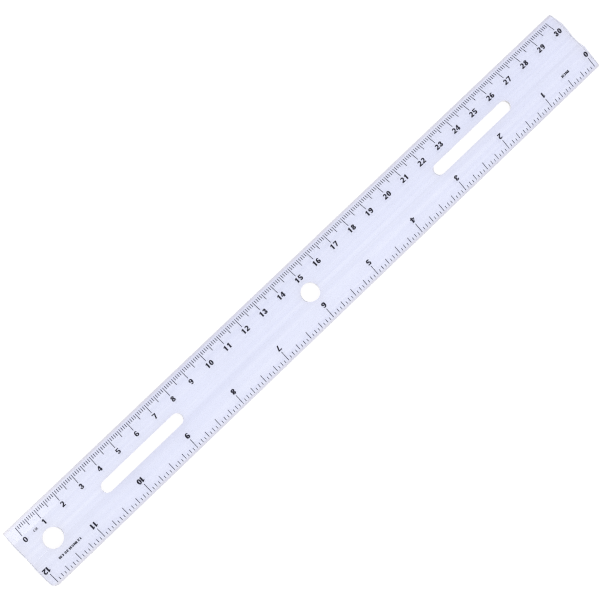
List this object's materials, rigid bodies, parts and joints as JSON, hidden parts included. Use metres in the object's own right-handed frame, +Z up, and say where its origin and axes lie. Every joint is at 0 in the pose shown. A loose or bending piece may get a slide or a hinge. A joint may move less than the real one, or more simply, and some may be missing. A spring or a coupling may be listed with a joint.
{
  "type": "ruler",
  "caption": "Clear one-piece plastic ruler with centimetre and inch scales printed on bevelled edges, a finger channel, a hanging hole and ring-binder openings",
  "frame": {"origin": "middle of the flat underside", "axes": "+X along the ruler toward the 30 cm end, +Y across it toward the centimetre edge, +Z up out of the printed face"},
  "size_m": [0.3096, 0.03, 0.004],
  "materials": {
    "clear_body": "clear, faintly lavender-tinted, polished moulded polystyrene",
    "scale_ink": "near-black hot-stamped ink film"
  },
  "bodies": {
    "root": {"ruler_body": "clear_body", "ink_mm_ticks": "scale_ink", "ink_half_cm_ticks": "scale_ink", "ink_cm_ticks": "scale_ink", "ink_cm_numerals_0_9": "scale_ink", "ink_cm_numerals_10_19": "scale_ink", "ink_cm_numerals_20_30": "scale_ink", "ink_cm_label": "scale_ink", "ink_sixteenth_ticks": "scale_ink", "ink_eighth_ticks": "scale_ink", "ink_quarter_ticks": "scale_ink", "ink_half_inch_ticks": "scale_ink", "ink_inch_ticks": "scale_ink", "ink_inch_numerals_0_3": "scale_ink", "ink_inch_numerals_4_7": "scale_ink", "ink_inch_numerals_8_12": "scale_ink", "ink_inch_label": "scale_ink", "ink_size_note": "scale_ink"}
  },
  "joints": []
}
